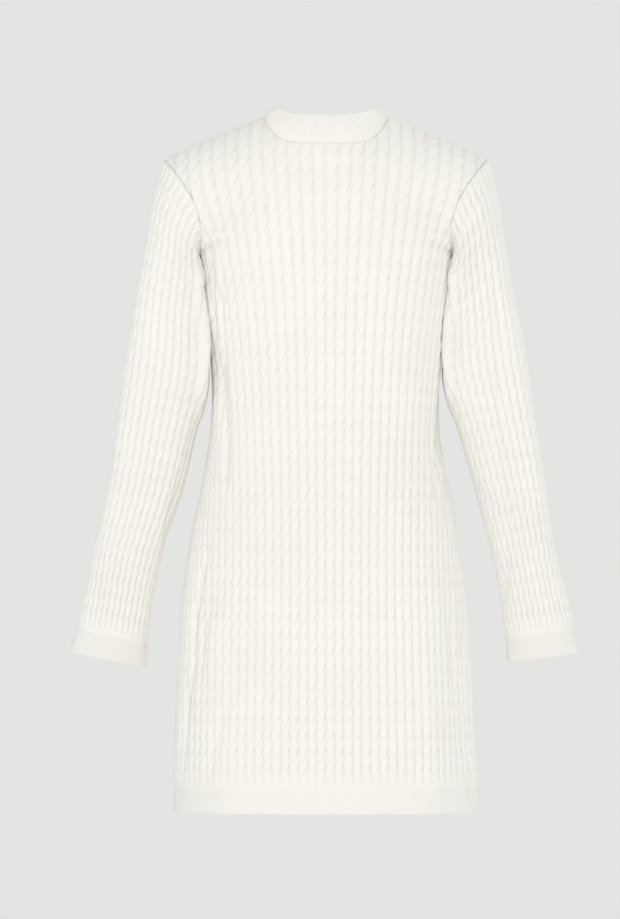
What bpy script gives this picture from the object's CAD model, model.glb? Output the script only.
"""Cable-knit sweater dress, hollow and filled out: two panels, two sleeves and a ribbed neckband."""
import math

import bpy
import numpy as np
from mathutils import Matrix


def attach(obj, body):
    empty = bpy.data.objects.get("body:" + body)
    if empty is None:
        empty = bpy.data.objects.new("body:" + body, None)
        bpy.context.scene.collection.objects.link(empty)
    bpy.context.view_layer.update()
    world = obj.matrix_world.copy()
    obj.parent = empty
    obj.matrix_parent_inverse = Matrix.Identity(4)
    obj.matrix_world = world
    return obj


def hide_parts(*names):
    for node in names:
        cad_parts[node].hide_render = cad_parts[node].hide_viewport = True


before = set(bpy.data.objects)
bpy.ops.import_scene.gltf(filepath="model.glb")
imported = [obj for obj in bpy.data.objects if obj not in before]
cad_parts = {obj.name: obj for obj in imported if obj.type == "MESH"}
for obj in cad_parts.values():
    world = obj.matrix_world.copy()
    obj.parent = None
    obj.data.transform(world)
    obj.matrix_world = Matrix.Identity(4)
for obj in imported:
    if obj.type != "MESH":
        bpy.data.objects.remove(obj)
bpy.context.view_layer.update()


# ---- Back panel --------------------------------------------------------------------
# One piece of thick soft yarn, knitted to shape with rope cables side by side all over and
# a plain band in one with it at the hem. It is linked to the front at the sides and shoulders.

MM = 0.001
WALL = 1.9  # plain cloth between the cables
HEM = -833.5
HEM_BAND = 29.0
ARMPIT = -158.0
ARMPIT_X = 146.0
SHOULDER_TIP = -53.0
SHOULDER_TIP_X = 192.0
SHOULDER_SINK = 3.0  # how far the shoulder seam lies below its cubic line at the neck
SHOULDER_DIP = 2.2  # and how far its middle sinks further
NECK_X = 76.0  # neck end of the shoulder seam
NECK_RIM = 36.0  # how far the neck's rim lies behind or before the shoulder seam
ARMHOLE_DEPTH = 62.0
ARMHOLE_BOW = 12.0

SKIRT_REPEATS = 31  # cable repeats from the hem band to the armpit
YOKE_REPEATS = 9  # and from there over the shoulder blade to the shoulder seam
REPEAT = 19.8  # height of the lowest repeat; each next one is a little higher
REPEAT_GROWTH = 0.034

BACK, FRONT = -1.0, 1.0  # which way each panel faces along Y


def table(names, rows):
    """Rows of numbers whose columns are read by name."""
    return np.array(rows, dtype=[(name, float) for name in names.split()])


# half widths to each side, depths behind and before the side seams, squareness of the oval
BODY = table(
    "z left right back front square",
    [
        (-835, 181, 184, 112, 113, 2.10),
        (-746, 178, 175, 113, 113, 2.12),
        (-692, 176, 173, 116, 114, 2.15),
        (-638, 173, 169, 119, 114, 2.18),
        (-584, 170, 166, 121, 113, 2.20),
        (-530, 163, 158, 119, 111, 2.20),
        (-494, 157, 154, 114, 109, 2.20),
        (-458, 149, 148, 107, 107, 2.20),
        (-422, 142, 140, 101, 104, 2.22),
        (-386, 136, 134, 97, 102, 2.25),
        (-338, 133, 132, 95, 102, 2.30),
        (-278, 136, 136, 97, 111, 2.45),
        (-218, 141, 142, 100, 120, 2.70),
        (-158, 146, 146, 101, 115, 3.00),
    ],
)
# width of a cable column, which fans out from the waist to the shoulders
COLUMN_WIDTH = table("z width", [(-835, 10.8), (-400, 10.8), (-206, 12.4), (ARMPIT, 13.2)])
SHOULDER_COLUMN = 16.4
SHOULDER_POWER = 1.4  # how sharply the cloth turns back from the centre at the shoulder
SHOULDER_PACE = 1.4  # and how soon above the armpit it does
LOW_YOKE = 0.15  # share of the yoke in which the armhole's depth is held close to the edge
LINE_POINTS = 240  # points of a line of bare cloth, before it is cut to columns
# how the depth at the centre falls off above the armpit, and the neckline's U
YOKE = {
    BACK: {"base": 101.0, "fall": 24.0, "power": 2.0, "drop": 32.0, "round": 5.0},
    FRONT: {"base": 115.0, "fall": 56.0, "power": 1.15, "drop": 100.0, "round": 3.0},
}


def spline(x, xs, ys):
    """Cubic Hermite curve through the points xs, ys, with slopes from their neighbours."""
    slope = np.gradient(ys, xs)
    x = np.clip(x, xs[0], xs[-1])
    k = np.clip(np.searchsorted(xs, x, side="right") - 1, 0, len(xs) - 2)
    span = xs[k + 1] - xs[k]
    f = (x - xs[k]) / span
    ends = ys[k] * (1 + 2 * f) * (1 - f) ** 2 + ys[k + 1] * f**2 * (3 - 2 * f)
    return ends + span * (slope[k] * f * (1 - f) ** 2 + slope[k + 1] * f**2 * (f - 1))


def unit(v):
    """v / |v|."""
    return v / np.maximum(np.linalg.norm(v, axis=-1, keepdims=True), 1e-9)


def smooth(x):
    """3x^2 - 2x^3 between 0 and 1."""
    x = np.clip(x, 0, 1)
    return x * x * (3 - 2 * x)


def row_height(row):
    """Height of a cable row up to the armpit, a quadratic in the row. -1 to 0 is the hem band."""
    cabled = HEM + HEM_BAND + (REPEAT + REPEAT_GROWTH * row) * row
    return np.where(row < 0, HEM + HEM_BAND * (1 + row), np.minimum(cabled, ARMPIT))


def yoke_share(row):
    """Sine of the row's share of a quarter turn: 0 at the armpit, 1 at the shoulder seam. The
    share f is taken as 0.8 f + 0.2 f^2, which keeps the repeats equally high."""
    share = np.clip((row - SKIRT_REPEATS) / YOKE_REPEATS, 0, 1)
    return np.sin(0.5 * math.pi * share * (0.8 + 0.2 * share))


def half_rows(rows, left, facing):
    """Rows from the centre to the panel's edge, each a line of points (rows, points, 3).

    Up to the armpit x = w sin^(2/n), y = d cos^(2/n), where n is the squareness. Above it, t is
    the share of the yoke. The edge follows the armhole's oval, the depth between centre and
    edge goes as cos^(2p), with p from 1/n to the shoulder's power, and all of it falls off
    over the shoulder as sqrt(1 - t^2). The shoulder seam sinks with a cubic, s * (0.78 + 0.22
    s^2), of the share s from the neck to the tip.
    """
    z = row_height(rows)
    reach = {name: spline(z, BODY["z"], BODY[name])[:, None] for name in BODY.dtype.names}
    width = reach["left" if left else "right"]
    depth = reach["back" if facing == BACK else "front"]
    square = reach["square"]
    turn = np.linspace(0, 0.5 * math.pi, LINE_POINTS)[None, :]
    f = np.sin(turn) ** (2 / square)
    t = yoke_share(rows)[:, None]
    up = 2 * t - 1
    edge_x = 0.5 * (ARMPIT_X + SHOULDER_TIP_X) + 0.5 * (SHOULDER_TIP_X - ARMPIT_X) * up
    edge_x = edge_x - ARMHOLE_BOW * (1 - up**2)
    x = np.where(t > 0, edge_x, width) * f
    past_neck = np.clip((SHOULDER_TIP_X * f - NECK_X) / (SHOULDER_TIP_X - NECK_X), 0, 1)
    shoulder = SHOULDER_TIP * (0.78 * past_neck + 0.22 * past_neck**3)
    shoulder = shoulder - SHOULDER_SINK * (1 - past_neck)
    shoulder = shoulder - SHOULDER_DIP * np.sin(math.pi * past_neck)
    yoke = YOKE[facing]
    centre = yoke["base"] - yoke["fall"] * t ** yoke["power"]
    edge = ARMHOLE_DEPTH * np.sqrt(4 * t / (1 + t))
    power = 1 / square + (SHOULDER_POWER - 1 / square) * smooth(SHOULDER_PACE * t)
    bulge = np.maximum(np.cos(turn), 0) ** (2 * power)
    rim = NECK_RIM * np.maximum(0, 1 - (x / NECK_X) ** 2) ** 1.5 * t**3
    # low down, the armhole's depth reaches only a little way into the panel
    low = np.clip(1 - t / LOW_YOKE, 0, 1)
    edge = edge * f ** (4 * (1 - t) ** 2 + 30 * low**2)
    over = np.sqrt(1 - t**2) * (edge + (centre - edge) * bulge) + rim
    y = np.where(t > 0, over, depth * np.maximum(np.cos(turn), 0) ** (2 / square))
    return np.stack([x, y, np.where(t > 0, ARMPIT + t * (shoulder - ARMPIT), z[:, None])], -1)


def lengths(lines):
    """Running length along each line."""
    steps = np.linalg.norm(np.diff(lines, axis=1), axis=-1)
    return np.concatenate([np.zeros((len(lines), 1)), np.cumsum(steps, 1)], 1)


def walk(lines, want):
    """Points at the wanted lengths along each line, and the line's direction there."""
    along = lengths(lines)
    k = np.clip((along[:, None, :] <= want[:, :, None]).sum(-1) - 1, 0, lines.shape[1] - 2)
    row = np.arange(len(lines))[:, None]
    f = ((want - along[row, k]) / np.maximum(along[row, k + 1] - along[row, k], 1e-9))[..., None]
    heading = unit(np.gradient(lines, axis=1))
    point = lines[row, k] * (1 - f) + lines[row, k + 1] * f
    return point, unit(heading[row, k] * (1 - f) + heading[row, k + 1] * f)


def column_width(rows):
    """Width of a column: from the table up to the armpit, then wider with the share of the yoke."""
    below = spline(row_height(rows), COLUMN_WIDTH["z"], COLUMN_WIDTH["width"])
    return below + (SHOULDER_COLUMN - COLUMN_WIDTH["width"][-1]) * yoke_share(rows)


def lay_out(rows, columns, facing):
    """Bare cloth where column lines cross rows: points, outward directions, and how far each
    column line runs inside the panel. Columns count to the right, seen from outside."""
    parts = []
    for side in (-1.0, 1.0):
        mine = columns[columns < 0] if side < 0 else columns[columns >= 0]
        to_right = -side * facing
        lines = half_rows(rows, to_right < 0, facing)
        reach = lengths(lines)[:, -1]
        width = column_width(rows)
        want = np.minimum(np.abs(mine) * width[:, None], reach[:, None])
        point, heading = walk(lines, want)
        flip = np.array([to_right, facing, 1.0])
        parts.append((point * flip, heading * flip * side, width, reach / width))
    point, across = (np.concatenate([p[i] for p in parts], 1) for i in (0, 1))
    up = np.gradient(point, axis=0)
    out = unit(np.cross(across, up))
    return point, out, np.stack([p[2] for p in parts], 1), np.stack([p[3] for p in parts], 1)


CABLE = 1.9  # how far a rope stands out of the plain cloth
ROPE_SHARE = 0.90  # of its column's width; a purl stitch fills the rest
STITCHES = 10  # stitches in a repeat
GROOVE_SHARE = 0.13  # half width of the groove between strands, as a share of a repeat
GROOVE_DEPTH = 0.62  # and its depth as a share of the rope's height
COLUMN_STEPS = np.array([0.0, 0.09, 0.26, 0.5, 0.74, 0.91])  # lines of the grid in a column
REPEAT_STEPS = 10  # and its rows in a repeat
BAND_STEPS = np.array([-1.0, -0.97, -0.85, -0.6, -0.35, -0.12])  # rows of a plain hem or cuff
SEAM_CABLE = 0.95  # share of a cable's height left where a seam cuts it
SEAM_FADE = 30.0  # how far from a seam the creases begin to fade
CABLE_FADE = 4.0  # and the cables
TURNED_EDGE = 0.9  # share of the cloth's thickness left where it is turned in at a seam
TURNED_REACH = 2.5
BOUND_EDGE = 0.7  # share of it left at the outermost row of the hem, a cuff or the collar


def rope(column, row):
    """Height of the cables, 0 to 1: an arch (1 - x^6)^0.6 across each column, with a groove
    between two strands that climbs from its left to its right over one repeat, along an
    arcsine. The groove is exp(-(share of a strand / its half width)^2) deep, and fades out
    to the left. The strands rise by another 0.15 to their middle."""
    x = np.clip((2 * (column % 1) - 1) / ROPE_SHARE, -1, 1)
    strand = (row - np.arcsin(x) / math.pi) % 1
    groove = np.exp(-((np.minimum(strand, 1 - strand) / GROOVE_SHARE) ** 2))
    sunk = 1 - GROOVE_DEPTH * groove * smooth(x + 0.45)
    return (1 - x**6) ** 0.6 * sunk * (0.85 + 0.15 * np.sin(math.pi * strand))


def knit_lines(repeats, first, last):
    """Rows of the grid from a plain band over all repeats, and its columns."""
    rows = np.append(BAND_STEPS, np.arange(repeats * REPEAT_STEPS + 1) / REPEAT_STEPS)
    columns = (np.arange(first, last)[:, None] + COLUMN_STEPS).ravel()
    return rows, np.append(columns, last)


def cable_share(rows, share, to_seam):
    """Share of a cable's height: rising from the plain band over one repeat, and cut short at
    a seam, most under the arm, where share is that of the way up the armhole."""
    at_seam = SEAM_CABLE * smooth(share / 0.3)
    return smooth(rows)[:, None] * (at_seam + (1 - at_seam) * smooth(to_seam / CABLE_FADE))


def thickness(rows, to_seam):
    """Thickness of the plain cloth, less at a seam and at the edge of a plain band."""
    near = np.sqrt(np.clip(to_seam / TURNED_REACH, 0, 1))
    thick = WALL * (TURNED_EDGE + (1 - TURNED_EDGE) * near)
    return np.where(rows[:, None] < -0.99, WALL * BOUND_EDGE, thick)


# soft troughs (minus) and ridges of the worn cloth, from one end to the other as x and z,
# with the sideways bow of their middle, their depth and their half width
CREASES = {
    BACK: table(
        "x0 z0 x1 z1 bow depth width",
        [
            (-141, -128, -134, -225, 1, -6.6, 3.6),
            (-133, -170, -122, -370, 3, -10.0, 3.2),
            (-124, -200, -115, -350, 2, -6.2, 3.2),
            (-126, -290, -117, -440, -2, -10.0, 3.2),
            (-126, -140, -124, -330, 2, 2.0, 4.0),
            (-148, -116, -139, -222, 0, 3.0, 3.2),
            (-141, -168, -127, -334, 0, 3.2, 3.2),
            (-140, -520, -161, -672, 4, -9.0, 3.4),
            (-154, -640, -170, -780, 4, -8.8, 3.6),
            (-133, -560, -148, -700, 4, -3.4, 4.5),
            (-109, -570, -156, -725, 6, 2.6, 9.0),
            (-98, -650, -140, -800, 5, -3.2, 7.0),
            (-62, -700, -86, -812, 0, 1.8, 10.0),
            (148, -118, 137, -236, 0, 2.7, 3.0),
            (133.5, -258, 128.6, -350, 0, 3.2, 3.2),
            (133, -330, 126, -470, -3, -9.4, 3.4),
            (143, -330, 139, -500, -3, -3.4, 4.0),
            (122, -350, 116, -440, -2, -2.4, 4.0),
            (141, -560, 160, -780, -3, -3.8, 5.0),
            (158, -590, 173, -812, -3, -7.6, 3.4),
            (120, -600, 128, -800, 2, 1.6, 9.0),
            (96, -60, 60, -130, 0, -1.8, 9.0),
            (-96, -60, -62, -130, 0, -1.8, 9.0),
            (46, -62, -50, -64, 0, -2.4, 20.0),
            (10, -60, 6, -150, 0, -1.6, 8.0),
        ],
    ),
    FRONT: table(
        "x0 z0 x1 z1 bow depth width",
        [
            (140, -150, 128, -250, -2, -4.2, 4.5),
            (128, -200, 124, -400, -3, -4.4, 4.5),
            (-138, -150, -126, -260, 2, -4.2, 4.5),
            (-127, -210, -122, -400, 3, -4.4, 4.5),
            (112, -240, 106, -330, 0, 1.8, 6.0),
            (-112, -230, -108, -340, 0, 1.6, 6.0),
            (140, -540, 168, -780, -4, -4.4, 5.0),
            (-138, -520, -160, -770, 4, -4.6, 5.0),
            (-92, -620, -120, -800, 4, 2.2, 9.0),
            (88, -640, 108, -810, -4, 2.2, 9.0),
            (30, -690, 38, -812, 0, -2.4, 9.0),
            (-34, -670, -40, -812, 0, 1.8, 11.0),
        ],
    ),
}


CREASE_END = 12.0  # over what length past its ends a crease runs out


def crease_height(x, z, folds):
    """Sum over the folds of depth * exp(-(distance from its line / width)^2) * sin^0.7, where
    the sine is of the share of the line's length as half a turn."""
    height = np.zeros_like(x)
    for fold in folds:
        start = np.array([fold["x0"], fold["z0"]])
        run = np.array([fold["x1"], fold["z1"]]) - start
        long = np.hypot(*run)
        f = ((x - start[0]) * run[0] + (z - start[1]) * run[1]) / long**2
        off = ((x - start[0]) * run[1] - (z - start[1]) * run[0]) / long
        share = np.clip(f, 0, 1)
        off = off - fold["bow"] * 4 * share * (1 - share)
        past = np.maximum(0, np.abs(f - 0.5) - 0.5) * long
        taper = np.sin(math.pi * np.clip(share, 0.04, 0.96)) ** 0.7
        taper = taper * np.exp(-((past / CREASE_END) ** 2))
        height += fold["depth"] * taper * np.exp(-((off / fold["width"]) ** 2))
    return height


WAVE_REACH = 330.0  # height above the hem where the skirt's waves begin
# waves that grow from there down to the hem: where along it, how wide, how far out
WAVES = {
    BACK: table(
        "x width height",
        [(-158, 24, -3.0), (-122, 30, 2.3), (-73, 27, -2.8), (-26, 28, 2.3), (42, 40, -2.5),
         (116, 32, 2.5), (150, 15, -2.6)],
    ),
    FRONT: table(
        "x width height",
        [(-150, 26, 2.2), (-104, 32, -2.5), (-40, 34, 2.3), (32, 32, -2.3), (100, 36, 2.4),
         (154, 28, -2.4)],
    ),
}


def wave_height(x, z, waves):
    """Sum over the waves of height * exp(-((x - at) / width)^2), growing towards the hem."""
    rise = np.clip(1 - (z - HEM) / WAVE_REACH, 0, 1) ** 1.5
    away = (x[..., None] - waves["x"]) / waves["width"]
    return (np.exp(-(away**2)) * waves["height"]).sum(-1) * rise


def every_third(count):
    """Every third line of a grid, and the last."""
    return np.unique(np.append(np.arange(0, count, 3), count - 1))


def triangles(ids):
    """Two triangles for each cell of a grid of point numbers, split from its lower left to its
    upper right. Cells that were drawn in to an edge lose their empty triangles."""
    a, b, c, d = ids[:-1, :-1], ids[:-1, 1:], ids[1:, 1:], ids[1:, :-1]
    both = np.stack([np.stack([a, b, c], -1), np.stack([a, c, d], -1)], 2)
    row, column = np.indices(a.shape)
    cell = np.stack([row, column], -1)[:, :, None].repeat(2, 2).reshape(-1, 2)
    faces = both.reshape(-1, 3)
    whole = (faces != np.roll(faces, 1, 1)).all(1)
    return faces[whole], cell[whole]


def border(ids, rows, columns):
    """Point numbers round the picked rows and columns of a grid, and how far round they lie."""
    high, wide = len(ids) - 1, ids.shape[1] - 1
    loop = np.concatenate(
        [ids[0, columns], ids[rows, -1], ids[-1, columns][::-1], ids[rows, 0][::-1]]
    )
    at = np.concatenate(
        [columns, wide + rows, wide + high + (wide - columns)[::-1],
         2 * wide + high + (high - rows)[::-1]]
    )
    new = loop != np.roll(loop, 1)
    new[0] = True
    new[-1] = loop[-1] not in (loop[0], loop[-2])
    return loop[new], at[new], 2 * (wide + high)


def join(outer, outer_at, inner, inner_at, around):
    """Triangles between two closed borders, taking their edges in the order they are met."""
    outer_mid = 0.5 * (outer_at + np.append(outer_at[1:], outer_at[0] + around))
    inner_mid = 0.5 * (inner_at + np.append(inner_at[1:], inner_at[0] + around))
    beside = inner[np.searchsorted(inner_mid, outer_mid, "left") % len(inner)]
    below = outer[np.searchsorted(outer_mid, inner_mid, "right") % len(outer)]
    first = np.stack([np.roll(outer, -1), outer, beside], 1)
    second = np.stack([below, inner, np.roll(inner, -1)], 1)
    return np.concatenate([first, second])


def knitted(name, points, faces, rim, stitches, material, node):
    """A mesh from points in millimetres and triangles, with a UV of wale and course for each
    corner, that rides on the body and stands for its solid. The last triangles, as many as
    rim says, are the cut edges of the wall and are shaded flat."""
    used, faces = np.unique(faces, return_inverse=True)
    faces = faces.reshape(-1, 3)
    mesh = bpy.data.meshes.new(name)
    mesh.vertices.add(len(used))
    mesh.vertices.foreach_set("co", (points[used] * MM).ravel())
    mesh.loops.add(faces.size)
    mesh.loops.foreach_set("vertex_index", faces.ravel())
    mesh.polygons.add(len(faces))
    mesh.polygons.foreach_set("loop_start", np.arange(0, faces.size, 3))
    mesh.update(calc_edges=True)
    mesh.uv_layers.new(name="stitches").data.foreach_set("uv", stitches.reshape(-1, 2).ravel())
    mesh.shade_smooth()
    mesh.polygons.foreach_set("use_smooth", np.arange(len(faces)) < len(faces) - rim)
    mesh.materials.append(material)
    piece = bpy.data.objects.new(name, mesh)
    bpy.context.scene.collection.objects.link(piece)
    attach(piece, "root")
    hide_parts(node)
    return piece


BAND_WALES = 5  # wales to a column's width in a plain band
BAND_COURSES = 13  # and courses in its height


def stitch_uv(column, row, first_column, first_row):
    """Wale and course at a column and row. From the row and column of the face's own corner on,
    the wales run along a cable's strands, two to a strand. In a plain band they run straight,
    and the course is negative."""
    x = np.clip((2 * (column - np.floor(first_column + 0.01)) - 1) / ROPE_SHARE, -1, 1)
    cable = np.stack([2 * (row - np.arcsin(x) / math.pi), STITCHES * row], -1)
    plain = np.stack([column * BAND_WALES, np.minimum(row, 0) * BAND_COURSES - 1], -1)
    return np.where(np.broadcast_to(first_row < -0.01, row.shape)[..., None], plain, cable)


def maths(tree, operation, first, second=0.5, third=0.5):
    """A Math node with numbers or sockets as inputs, and its output."""
    node = tree.nodes.new("ShaderNodeMath")
    node.operation = operation
    for socket, value in zip(node.inputs, (first, second, third)):
        if isinstance(value, (int, float)):
            socket.default_value = value
        else:
            tree.links.new(value, socket)
    return node.outputs[0]


GROOVE_LINE = 0.09  # half width of the line between two strands, as a share of a strand
LOOP_TINT = 0.35  # how far the loops are tinted towards the lighter cream
GROOVE_TINT = -0.45  # and the grooves towards its shade


def yarn(name, light, shade, stitch_depth, groove_depth):
    """Matt brushed yarn. Stitch height is cos(course + half the distance from the wale's
    middle) * (1 - distance^4), over fine fibres. Between the strands of a cable, where
    wale / 2 is whole, the cloth dips and is a little darker, most on the cable's right side,
    where sin(pi * (course / stitches - wale / 2)) is near 1. At its very edge all the cloth
    does, at least 0.3 as much."""
    material = bpy.data.materials.new(name)
    material.use_nodes = True
    tree = material.node_tree
    shader = tree.nodes["Principled BSDF"]
    shader.inputs["Roughness"].default_value = 0.92
    shader.inputs["Specular IOR Level"].default_value = 0.25
    shader.inputs["Sheen Weight"].default_value = 0.5
    shader.inputs["Sheen Roughness"].default_value = 0.6
    stitches = tree.nodes.new("ShaderNodeUVMap")
    stitches.uv_map = "stitches"
    split = tree.nodes.new("ShaderNodeSeparateXYZ")
    tree.links.new(stitches.outputs["UV"], split.inputs[0])
    wale, course = split.outputs["X"], split.outputs["Y"]
    inside = maths(tree, "SUBTRACT", maths(tree, "FRACT", wale), 0.5)
    apart = maths(tree, "MULTIPLY", maths(tree, "ABSOLUTE", inside), 2.0)
    phase = maths(tree, "MULTIPLY_ADD", apart, 0.5, course)
    wave = maths(tree, "COSINE", maths(tree, "MULTIPLY", phase, 2 * math.pi))
    loop = maths(tree, "MULTIPLY_ADD", wave, 0.5, 0.5)
    side = maths(tree, "SUBTRACT", 1.0, maths(tree, "POWER", apart, 4.0))
    loops = maths(tree, "MULTIPLY", loop, side)

    strand = maths(tree, "MULTIPLY", wale, 0.5)
    lean = maths(tree, "MULTIPLY_ADD", course, 1 / STITCHES, maths(tree, "MULTIPLY", strand, -1.0))
    across = maths(tree, "SINE", maths(tree, "MULTIPLY", lean, math.pi))
    between = maths(tree, "PINGPONG", strand, 0.5)
    line = maths(tree, "SUBTRACT", 1.0, maths(tree, "MULTIPLY", between, 1 / GROOVE_LINE))
    line = maths(tree, "MAXIMUM", line, 0.0)
    in_cable = maths(tree, "MULTIPLY", course, 1 / STITCHES)
    in_cable = maths(tree, "MINIMUM", maths(tree, "MAXIMUM", in_cable, 0.0), 1.0)
    right = maths(tree, "MAXIMUM", maths(tree, "MULTIPLY_ADD", across, 0.8, 0.2), 0.0)
    beside = maths(tree, "MAXIMUM", maths(tree, "MULTIPLY_ADD", across, 8.0, -7.0), 0.0)
    groove = maths(tree, "MAXIMUM", maths(tree, "MULTIPLY", line, right),
                   maths(tree, "MULTIPLY", beside, 0.3))
    groove = maths(tree, "MULTIPLY", groove, in_cable)

    place = tree.nodes.new("ShaderNodeTexCoord")
    fibres = tree.nodes.new("ShaderNodeTexNoise")
    fibres.inputs["Scale"].default_value = 900.0
    fibres.inputs["Detail"].default_value = 4.0
    tree.links.new(place.outputs["Object"], fibres.inputs["Vector"])
    height = maths(tree, "MULTIPLY_ADD", fibres.outputs["Fac"], 0.5, loops)
    height = maths(tree, "MULTIPLY_ADD", groove, -groove_depth / stitch_depth, height)
    bump = tree.nodes.new("ShaderNodeBump")
    bump.inputs["Strength"].default_value = 1.0
    bump.inputs["Distance"].default_value = stitch_depth * MM
    tree.links.new(height, bump.inputs["Height"])
    tree.links.new(bump.outputs["Normal"], shader.inputs["Normal"])
    drift = tree.nodes.new("ShaderNodeTexNoise")
    drift.inputs["Scale"].default_value = 14.0
    drift.inputs["Detail"].default_value = 3.0
    tree.links.new(place.outputs["Object"], drift.inputs["Vector"])
    mix = tree.nodes.new("ShaderNodeMix")
    mix.data_type = "RGBA"
    mix.inputs["A"].default_value = (*shade, 1.0)
    mix.inputs["B"].default_value = (*light, 1.0)
    tint = maths(tree, "MULTIPLY_ADD", loops, LOOP_TINT, drift.outputs["Fac"])
    tint = maths(tree, "MULTIPLY_ADD", groove, GROOVE_TINT, tint)
    tree.links.new(tint, mix.inputs["Factor"])
    tree.links.new(mix.outputs["Result"], shader.inputs["Base Color"])
    return material


CREAM = (0.945, 0.925, 0.875)
CREAM_SHADE = (0.885, 0.865, 0.815)
cable_yarn = yarn("cream_cable_yarn", CREAM, CREAM_SHADE, 0.3, 0.45)
MOST_COLUMNS = 24  # more than half a panel needs at its widest
# a grid point gives way to the edge within these shares of a column from the side seam or
# the armhole, and of a row of the grid from the neckline
EDGE_COLUMN = 0.06
EDGE_ROW = 0.3


def panel_mesh(name, facing, material):
    """Panel with its cables. Grid points past the side seam, the armhole or the neckline are
    drawn in to it, and the plain inside uses every third line of the grid. Also gives the
    edges of both armholes and the neckline, where the other pieces are linked on."""
    rows, columns = knit_lines(SKIRT_REPEATS + YOKE_REPEATS, -MOST_COLUMNS, MOST_COLUMNS)
    point, out, width, inside = lay_out(rows, columns, facing)
    side = (columns >= 0).astype(int)
    pitch, edge = width[:, side], inside[:, side]
    to_edge = np.maximum(edge - np.abs(columns), 0) * pitch
    x, z = point[..., 0], point[..., 2]

    # where each column line meets the neckline
    yoke = YOKE[facing]
    dip = np.clip(1 - (np.abs(x) / NECK_X) ** yoke["round"], 0, 1)
    over = np.where(dip > 0, z + yoke["drop"] * dip, -1.0)
    first = np.where((over > 0).any(0), (over > 0).argmax(0), len(rows))
    met = np.flatnonzero(first < len(rows))
    upper, lower = first[met], first[met] - 1
    share = (over[lower, met] / (over[lower, met] - over[upper, met]))[:, None]
    run = lengths(point.transpose(1, 0, 2)).T
    end = run[-1].copy()
    end[met] = run[lower, met] * (1 - share[:, 0]) + run[upper, met] * share[:, 0]
    to_seam = np.minimum(to_edge, np.maximum(end - run, 0))

    # under the arm and over the shoulder the wall leans with the sleeve's
    t = yoke_share(rows)[:, None]
    up = 2 * t - 1
    chord = (SHOULDER_TIP_X - ARMPIT_X) ** 2 + (SHOULDER_TIP - ARMPIT) ** 2
    ring = np.stack(
        [
            np.sign(x) * (SHOULDER_TIP_X - ARMPIT_X) * up / chord,
            facing * np.sqrt(1 - up**2) / ARMHOLE_DEPTH + 0 * x,
            (SHOULDER_TIP - ARMPIT) * up / chord + 0 * x,
        ],
        -1,
    )
    on_armhole = (to_edge < 1e-6) & (rows >= SKIRT_REPEATS)[:, None]
    out = np.where(on_armhole[..., None], unit(out + unit(ring)), out)

    bend = crease_height(x, z, CREASES[facing]) + wave_height(x, z, WAVES[facing])
    inner = point + out * (bend * smooth(to_seam / SEAM_FADE))[..., None]
    at_edge = np.sign(columns + 0.01) * np.minimum(np.abs(columns), edge)
    at_column = np.where(on_armhole, at_edge, columns)  # a cable runs on into the armhole's seam
    cables = rope(at_column, rows[:, None]) * CABLE * cable_share(rows, t, to_seam)
    thick = thickness(rows, to_seam)
    outer = inner + out * (thick + cables)[..., None]

    # points past an edge, or close to it, give way to the point on it
    grid = np.arange(x.size).reshape(x.shape)
    line = grid.copy()
    for of_side, end_column in ((0, 0), (1, -1)):
        mine = side == of_side
        out_of = mine & (np.abs(columns) > inside[:, [of_side]] - EDGE_COLUMN)
        line = np.where(out_of, grid[:, [end_column]], line)
    extra = x.size + np.arange(len(met))
    wall = (inner, inner + out * thick[..., None])
    neck = [a[lower, met] * (1 - share) + a[upper, met] * share for a in wall]
    neck[1] = neck[0] + unit(neck[1] - neck[0]) * WALL * TURNED_EDGE
    past_neck = np.arange(len(rows))[:, None] >= first[met] - (share[:, 0] < EDGE_ROW)
    line[:, met] = np.where(past_neck, extra, line[:, met])
    inner_all = np.concatenate([inner.reshape(-1, 3), neck[0]])
    outer_all = np.concatenate([outer.reshape(-1, 3), neck[1]])

    every_row, every_column = every_third(len(rows)), every_third(len(columns))
    faces, cell = triangles(line)
    plain = triangles(line[np.ix_(every_row, every_column)])[0]
    shift = len(outer_all)
    all_rows, all_columns = np.arange(len(rows)), np.arange(len(columns))
    rim_out = border(line, all_rows, all_columns)
    rim_in = border(line, every_row, every_column)
    rim = join(rim_out[0], rim_out[1], rim_in[0] + shift, rim_in[1], rim_out[2])

    own_column = np.concatenate([np.broadcast_to(columns, x.shape).ravel(), columns[met]])
    own_row = np.concatenate([np.repeat(rows, len(columns)), rows[lower]])
    corner = cell[:, None, :]
    uv = stitch_uv(own_column[faces], own_row[faces], columns[corner[..., 1]], rows[corner[..., 0]])
    rest = np.concatenate([plain[:, ::-1], rim % shift])
    rest_uv = stitch_uv(own_column[rest], own_row[rest], 0, -1)
    stitches = np.concatenate([uv, rest_uv]).reshape(-1, 2)
    everything = np.concatenate([faces, plain[:, ::-1] + shift, rim])
    piece = knitted(
        name, np.concatenate([outer_all, inner_all]), everything, len(rim), stitches, material,
        name.replace("_panel", ""),
    )
    edges = {}
    arm = rows >= SKIRT_REPEATS
    for end_column in (0, -1):
        sign = np.sign(point[-1, end_column, 0])
        edges[sign] = (t[arm, 0], inner[arm, end_column], outer[arm, end_column])
    top = np.concatenate([inner[-1], outer[-1]], -1)
    before, after = top[[met[0] - 1]], top[[met[-1] + 1]]
    neck_line = np.concatenate([before, np.concatenate(neck, 1), after])
    return piece, edges, neck_line


back, back_edges, back_neck = panel_mesh("back_panel", BACK, cable_yarn)


# ---- Front panel -------------------------------------------------------------------
# The same knitted cloth, with more room over the chest and a lower, round neckline.

front, front_edges, front_neck = panel_mesh("front_panel", FRONT, cable_yarn)


# ---- Sleeves -----------------------------------------------------------------------
# Long narrow tubes with the same cables in narrower columns, and a plain cuff band knitted in
# one with each. They are linked into the armholes and hang a little way out from the sides.

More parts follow.
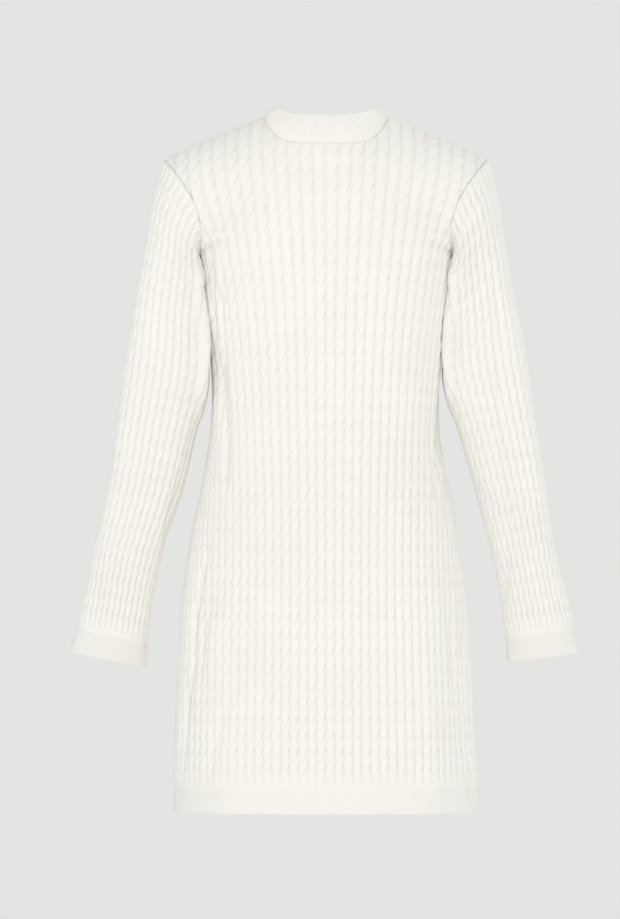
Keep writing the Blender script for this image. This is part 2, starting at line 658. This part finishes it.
SLEEVE_COLUMNS = 30
SLEEVE_REPEATS = 25
CUFF_BAND = 30.0
SQUARED = 0.28  # how much squarer than an oval a sleeve is between its head and its cuff
SQUARED_OVER = 90.0  # over what length it gets so below its head
ROUNDED_OVER = 200.0  # and round again above the cuff's edge
PRESSED = 0.85  # share of the cables' height lost where the upper arm lies against the side
PRESSED_REACH = 230.0  # how far down along the sleeve
PRESSED_WIDTH = 4.0  # and how wide

# sections from the shoulder to the cuff: the two ends seen from behind, the centre and half
# depth along Y, and how far the oval bows in
SLEEVES = {
    "left": table(
        "outer_x outer_z inner_x inner_z y depth bow",
        [
            (192, -53, 146, -158, 0, 62, 12),
            (204, -92, 155, -177, 0, 56, 8),
            (213, -145, 149, -214, 0, 50, 4),
            (224, -208, 145.5, -262, 0, 45, 0),
            (235, -278, 142, -312, 0, 40, 0),
            (245, -356, 158, -378, 2, 36, 0),
            (258, -440, 177.5, -458, 5, 32, 0),
            (276, -520, 203, -536, 8, 28, 0),
            (290, -590, 214, -608, 10, 25, 0),
            (307, -642, 216, -660, 12, 22, 0),
        ],
    ),
    "right": table(
        "outer_x outer_z inner_x inner_z y depth bow",
        [
            (192, -53, 146, -158, 0, 62, 12),
            (202, -92, 155, -177, 0, 56, 8),
            (211, -145, 149, -214, 0, 50, 4),
            (221, -208, 145.5, -262, 0, 45, 0),
            (235, -278, 142, -312, 0, 40, 0),
            (245.5, -356, 163, -378, -1, 36, 0),
            (260, -440, 186, -460, 1, 32, 0),
            (274, -528, 208, -548, 5, 28, 0),
            (291, -594, 216, -606, 9, 25, 0),
            (305, -643, 219, -654, 12, 22, 0),
        ],
    ),
}

# folds of each sleeve on its back and its front, as for the panels
SLEEVE_CREASES = {
    ("left", BACK): table(
        "x0 z0 x1 z1 bow depth width",
        [
            (-158.4, -158, -154.6, -206, 0, 9.0, 3.2),
            (-157.8, -190, -152.4, -350, -4.4, 12.5, 4.0),
            (-152, -345, -209, -636, 8, -4.4, 4.5),
            (-176, -440, -196, -520, 3, -3.4, 4.0),
            (-206, -560, -217, -648, 0, -3.4, 4.0),
            (-176, -150, -196, -330, 4, -1.6, 9.0),
            (-168, -250, -186, -420, 3, 1.8, 8.0),
            (-236, -250, -262, -470, -3, 1.4, 9.0),
            (-214, -300, -236, -520, 4, -1.8, 8.0),
            (-170, -392, -214, -400, 2, -1.8, 5.0),
            (-182, -434, -228, -450, 2, -1.6, 5.0),
            (-200, -500, -206, -600, 0, 1.5, 6.0),
            (-246, -480, -262, -600, 2, 1.6, 8.0),
            (-262, -540, -282, -620, 0, -1.6, 6.0),
        ],
    ),
    ("left", FRONT): table(
        "x0 z0 x1 z1 bow depth width",
        [
            (-153, -168, -150, -216, 0, 1.3, 14.0),
            (-180, -150, -200, -340, -4, -1.8, 9.0),
            (-214, -300, -240, -480, 3, 1.6, 9.0),
            (-172, -380, -226, -400, 3, -2.4, 6.0),
            (-178, -420, -230, -444, 3, -2.0, 6.0),
            (-232, -500, -250, -610, 2, -1.6, 7.0),
        ],
    ),
    ("right", BACK): table(
        "x0 z0 x1 z1 bow depth width",
        [
            (158.4, -158, 154.6, -206, 0, 9.0, 3.2),
            (157.4, -190, 152, -345, 5.0, 10.0, 3.8),
            (196, -180, 207, -300, -2, -3.2, 5.5),
            (204, -280, 218, -420, 2, -4.8, 5.5),
            (217, -400, 223, -510, 0, -4.4, 5.0),
            (219, -500, 216, -590, 0, -3.6, 5.0),
            (232, -270, 252, -470, -3, 2.6, 9.0),
            (186, -300, 196, -420, 3, 1.8, 8.0),
            (180, -436, 214, -476, 3, -2.2, 6.0),
            (206, -470, 240, -446, 2, 1.6, 6.0),
            (262, -540, 284, -590, 4, -2.2, 6.0),
            (236, -560, 268, -600, 3, 1.6, 7.0),
        ],
    ),
    ("right", FRONT): table(
        "x0 z0 x1 z1 bow depth width",
        [
            (153, -168, 150, -216, 0, 1.3, 14.0),
            (184, -160, 204, -330, 3, -1.8, 9.0),
            (214, -280, 238, -460, -3, 1.6, 9.0),
            (170, -384, 222, -410, -3, -2.4, 6.0),
            (184, -430, 236, -452, -3, -2.0, 6.0),
            (234, -500, 254, -610, -2, -1.6, 7.0),
        ],
    ),
}


def tube(name, outer, inner, uv, material, node):
    """A closed round of cloth from grids of outer and inner points whose last column is the
    first again. The plain inside uses every third line, and both ends are closed."""
    high, wide = outer.shape[0], outer.shape[1] - 1
    grid = np.arange(high * (wide + 1)).reshape(high, wide + 1)
    line = grid.copy()
    line[:, -1] = grid[:, 0]
    faces, cell = triangles(line)
    every_row, every_column = every_third(high), every_third(wide + 1)
    shift = grid.size
    plain = triangles(line[np.ix_(every_row, every_column)])[0][:, ::-1] + shift
    rims = []
    for row in (0, -1):
        outer_at, inner_at = np.arange(wide), every_column[:-1]
        outer_loop, inner_loop = line[row, outer_at], line[row, inner_at] + shift
        if row < 0:  # the last row is met the other way round
            loops = (outer_loop, -outer_at % wide, inner_loop, -inner_at % wide)
            outer_loop, outer_at, inner_loop, inner_at = (np.roll(a[::-1], 1) for a in loops)
        rims.append(join(outer_loop, outer_at, inner_loop, inner_at, wide))
    everything = np.concatenate([faces, plain, *rims])
    # a face that closes the round has its last corners at the end of the last column
    at_row, at_column = np.divmod(faces, wide + 1)
    at_column = np.where((at_column == 0) & (cell[:, 1:2] == wide - 1), wide, at_column)
    corner_uv = uv(at_row, at_column, cell[:, 0:1], cell[:, 1:2])
    rest = everything[len(faces):] % shift
    rest_uv = uv(*np.divmod(rest, wide + 1), 0 * rest, 0 * rest)
    stitches = np.concatenate([corner_uv, rest_uv]).reshape(-1, 2)
    points = np.concatenate([outer.reshape(-1, 3), inner.reshape(-1, 3)])
    rim = len(rims[0]) + len(rims[1])
    return knitted(name, points, everything, rim, stitches, material, node)


def sleeve(name, side, material):
    """Tube of ovals. Each is middle + cos^p(turn) * reach, with depth * sin^p(turn) along Y,
    where p is 1 at the armhole and at the cuff's edge and less between, which is a little
    squarer. The cables are pressed flat beside the body below the armhole."""
    sections = SLEEVES[name]
    path = np.hypot(np.diff(sections["outer_x"]), np.diff(sections["outer_z"]))
    path = 0.5 * (path + np.hypot(np.diff(sections["inner_x"]), np.diff(sections["inner_z"])))
    along = np.concatenate([[0], np.cumsum(path)])
    knit = along[-1] - CUFF_BAND
    rows, columns = knit_lines(SLEEVE_REPEATS, 0, SLEEVE_COLUMNS)
    at = np.where(rows < 0, knit - CUFF_BAND * rows, knit * (1 - rows / SLEEVE_REPEATS))
    oval = {n: spline(at, along, sections[n])[:, None] for n in sections.dtype.names}
    turn = np.linspace(0, 2 * math.pi, LINE_POINTS + 1)[None, :]
    squarer = SQUARED * smooth(at / SQUARED_OVER) * smooth((along[-1] - at) / ROUNDED_OVER)
    power = 1 - squarer[:, None]
    reach = np.sign(np.cos(turn)) * np.abs(np.cos(turn)) ** power
    rise = np.sign(np.sin(turn)) * np.abs(np.sin(turn)) ** power
    x = 0.5 * (oval["outer_x"] + oval["inner_x"])
    x = x + 0.5 * (oval["outer_x"] - oval["inner_x"]) * reach - oval["bow"] * np.sin(turn) ** 2
    z = 0.5 * (oval["outer_z"] + oval["inner_z"])
    z = z + 0.5 * (oval["outer_z"] - oval["inner_z"]) * reach
    lines = np.stack([side * x, oval["y"] + side * oval["depth"] * rise, z], -1)
    want = lengths(lines)[:, -1:] * columns / SLEEVE_COLUMNS
    point, across = walk(lines, want)
    across[:, 0] = across[:, -1] = unit(across[:, 0] + across[:, -1])
    out = unit(np.cross(across, np.gradient(point, axis=0)))

    # the sleeve's head is linked to the edge of the armhole, inside and out
    head = point[-1]
    share = (head[:, 2] - ARMPIT) / (SHOULDER_TIP - ARMPIT)
    seat = np.stack([head, head])
    for facing, edges in ((BACK, back_edges), (FRONT, front_edges)):
        t, edge_in, edge_out = edges[side]
        on_it = head[:, 1] * facing >= 0
        for line, edge in enumerate((edge_in, edge_out)):
            at_share = np.stack([np.interp(share, t, edge[:, i]) for i in range(3)], -1)
            seat[line, on_it] = at_share[on_it]

    run = lengths(point.transpose(1, 0, 2)).T
    to_seam = run[-1] - run
    x, z = point[..., 0], point[..., 2]
    # creases of the back give way to the front's where the cloth faces sideways
    behind = smooth(0.5 - 0.9 * out[..., 1])
    bend = behind * crease_height(x, z, SLEEVE_CREASES[name, BACK])
    bend = bend + (1 - behind) * crease_height(x, z, SLEEVE_CREASES[name, FRONT])
    inner = point + out * (bend * smooth(to_seam / SEAM_FADE))[..., None]
    close = (np.abs(x) - oval["inner_x"]) / PRESSED_WIDTH
    beside = smooth(at / 15) * smooth((PRESSED_REACH - at) / 50)
    pressed = np.exp(-(close**2)) * beside[:, None]
    cables = rope(columns, rows[:, None]) * CABLE * (1 - PRESSED * pressed)
    cables = cables * cable_share(rows, share, to_seam)
    outer = inner + out * (thickness(rows, to_seam) + cables)[..., None]
    inner[-1], outer[-1] = seat

    def uv(row, column, first_row, first_column):
        """Wale and course at points of the grid, for faces that start at the first ones."""
        return stitch_uv(columns[column], rows[row], columns[first_column], rows[first_row])

    piece = tube(
        f"sleeve_{name}_knit", outer, inner, uv, material, f"sleeve_{name}"
    )


sleeve("left", -1.0, cable_yarn)
sleeve("right", 1.0, cable_yarn)


# ---- Neckband ----------------------------------------------------------------------
# A mock-neck collar of fine one-by-one rib, linked on round the neckline. It leans in and
# stands highest behind the neck.

RIBS = 140
RIB = 0.7  # how far a rib stands out
RIB_STEPS = 8  # points across a rib
BAND_BOW = 1.2  # how far the band bows out between its foot and its rim
COLLAR_COURSES = 15
RINGS = np.array([0.0, 0.03, 0.08, 0.2, 0.4, 0.6, 0.8, 0.9, 0.96, 0.99, 1.0])
BAND_TOP_X = 60.0
BAND_TOP_Y = {BACK: 50.0, FRONT: 68.0}
BAND_TOP_Z = {"side": 12.0, BACK: 2.0, FRONT: -66.0}
NECK_Y = {BACK: 71.0, FRONT: 87.0}
rib_yarn = yarn("cream_rib_yarn", CREAM, CREAM_SHADE, 0.25, 0.0)


def neckband():
    """Rings at shares of the way from the neckline to the rim, straight between them with a
    slight bow, and ribs as raised cosines."""
    for half in (back_neck, front_neck):  # they meet in the plane of the side seams
        half[[0, -1], 1] = half[[0, -1], 4] = 0
    seam = np.concatenate([back_neck[:-1], front_neck])
    seam[-1] = seam[0]
    along = lengths(seam[None, :, :3])[0]
    steps = RIBS * RIB_STEPS
    want = np.linspace(0, along[-1], steps + 1)
    seam = np.stack([np.interp(want, along, seam[:, i]) for i in range(6)], -1)
    foot, foot_out = seam[:, :3], unit(seam[:, 3:] - seam[:, :3])
    behind = foot[:, 1] < 0
    neck_depth = np.where(behind, NECK_Y[BACK], NECK_Y[FRONT])
    bearing = np.arctan2(foot[:, 0] / NECK_X, -foot[:, 1] / neck_depth)
    deep = np.where(behind, BAND_TOP_Y[BACK], BAND_TOP_Y[FRONT])
    low = np.where(behind, BAND_TOP_Z[BACK], BAND_TOP_Z[FRONT])
    side = np.abs(np.sin(bearing)) ** np.where(behind, 3.0, 2.3)
    rim = np.stack(
        [BAND_TOP_X * np.sin(bearing), -deep * np.cos(bearing),
         low + (BAND_TOP_Z["side"] - low) * side],
        -1,
    )
    around = np.gradient(foot, axis=0)
    around[0] = around[-1] = around[0] + around[-1]
    rim_out = unit(np.cross(around, rim - foot))
    share = RINGS[:, None, None]
    turned = 1 - (1 - share) ** 3
    out = unit(foot_out * (1 - turned) + rim_out * turned)
    inner = foot + (rim - foot) * share + out * BAND_BOW * np.sin(math.pi * share)
    rib_phase = np.arange(steps + 1) / RIB_STEPS
    ridge = (0.5 - 0.5 * np.cos(2 * math.pi * rib_phase)) ** 0.8 * RIB
    # the ribs start a little way up from the foot and end just below the rim
    fade = smooth(share[..., 0] / 0.06) * smooth((1 - share[..., 0]) / 0.05)
    thick = WALL * (TURNED_EDGE + (1 - TURNED_EDGE) * smooth(share[..., 0] / 0.08))
    thick = thick * np.where(share[..., 0] > 0.995, BOUND_EDGE, 1.0)
    outer = inner + out * (thick + ridge * fade)[..., None]

    def uv(row, column, *_):
        """One wale to a rib, and courses up the band, all negative as it has no cables."""
        return np.stack([rib_phase[column], RINGS[row] * COLLAR_COURSES - COLLAR_COURSES - 1], -1)

    piece = tube("neckband_rib", outer, inner, uv, rib_yarn, "neckband")


neckband()


# ---- Floor, light and camera -------------------------------------------------------
# Pale even surroundings: a plain floor in the tone of the air, soft light from all round,
# and five soft lamps, the strongest of them straight in front of the dress's back.

DRESS_MIDDLE = (-0.019, 0.0, -0.410)
CAMERA_DISTANCE = 16.0
VIEW_HEIGHT = 1.1028  # what the frame shows from top to bottom at the dress
PALE = (0.776, 0.776, 0.768)
AIR_ABOVE = 0.88  # brightness of the air overhead, against the horizon's
AIR_LEVEL = 1.5  # it is level + slope * steepness, but not over 1 or under the one overhead
AIR_SLOPE = -2.2
FLOOR_REACH = 6.0
FLOOR_LEVEL = -1.6

floor_corners = [
    (x * FLOOR_REACH, y * FLOOR_REACH, FLOOR_LEVEL) for x, y in ((-1, -1), (1, -1), (1, 1), (-1, 1))
]
floor_mesh = bpy.data.meshes.new("floor")
floor_mesh.from_pydata(floor_corners, [], [(0, 1, 2, 3)])
floor = bpy.data.objects.new("floor", floor_mesh)
bpy.context.scene.collection.objects.link(floor)
floor_paint = bpy.data.materials.new("pale_floor")
floor_paint.use_nodes = True
floor_paint.node_tree.nodes.remove(floor_paint.node_tree.nodes["Principled BSDF"])
glow = floor_paint.node_tree.nodes.new("ShaderNodeEmission")
glow.inputs["Color"].default_value = (*PALE, 1.0)
floor_paint.node_tree.links.new(
    glow.outputs[0], floor_paint.node_tree.nodes["Material Output"].inputs["Surface"]
)
floor_mesh.materials.append(floor_paint)

# the air is pale round the horizon and dimmer overhead and below
world = bpy.data.worlds.new("soft_studio")
bpy.context.scene.world = world
world.use_nodes = True
air = world.node_tree
direction = air.nodes.new("ShaderNodeTexCoord")
direction_parts = air.nodes.new("ShaderNodeSeparateXYZ")
air.links.new(direction.outputs["Generated"], direction_parts.inputs[0])
steepness = maths(air, "ABSOLUTE", direction_parts.outputs["Z"])
dimming = maths(air, "MULTIPLY_ADD", steepness, AIR_SLOPE, AIR_LEVEL)
dimming = maths(air, "MAXIMUM", dimming, AIR_ABOVE)
air.nodes["Background"].inputs["Color"].default_value = (*PALE, 1.0)
air.links.new(maths(air, "MINIMUM", dimming, 1.0), air.nodes["Background"].inputs["Strength"])


def lamp(name, place, size, power):
    """A square soft lamp that looks at the middle of the dress."""
    data = bpy.data.lights.new(name, "AREA")
    data.size = size
    data.energy = power
    light = bpy.data.objects.new(name, data)
    light.location = place
    look = np.array(DRESS_MIDDLE) - np.array(place)
    light.rotation_euler = (
        math.atan2(math.hypot(look[0], look[1]), -look[2]), 0.0, math.atan2(-look[0], look[1])
    )
    bpy.context.scene.collection.objects.link(light)


lamp("key_lamp", (-2.2, -2.4, 2.0), 1.2, 12.0)
lamp("front_lamp", (0.4, -6.0, -0.6), 1.0, 96.0)
lamp("left_lamp", (-4.0, -1.0, -0.6), 2.5, 7.0)
lamp("right_lamp", (4.0, -1.0, -0.8), 2.5, 12.0)
lamp("back_lamp", (1.6, 3.0, 1.2), 2.5, 30.0)

camera_data = bpy.data.cameras.new("camera")
camera_data.lens = camera_data.sensor_width * CAMERA_DISTANCE / VIEW_HEIGHT
camera = bpy.data.objects.new("camera", camera_data)
camera.location = (DRESS_MIDDLE[0], -CAMERA_DISTANCE, DRESS_MIDDLE[2])
camera.rotation_euler = (math.radians(90), 0, 0)
bpy.context.scene.collection.objects.link(camera)
bpy.context.scene.camera = camera
bpy.context.scene.view_settings.view_transform = "Standard"
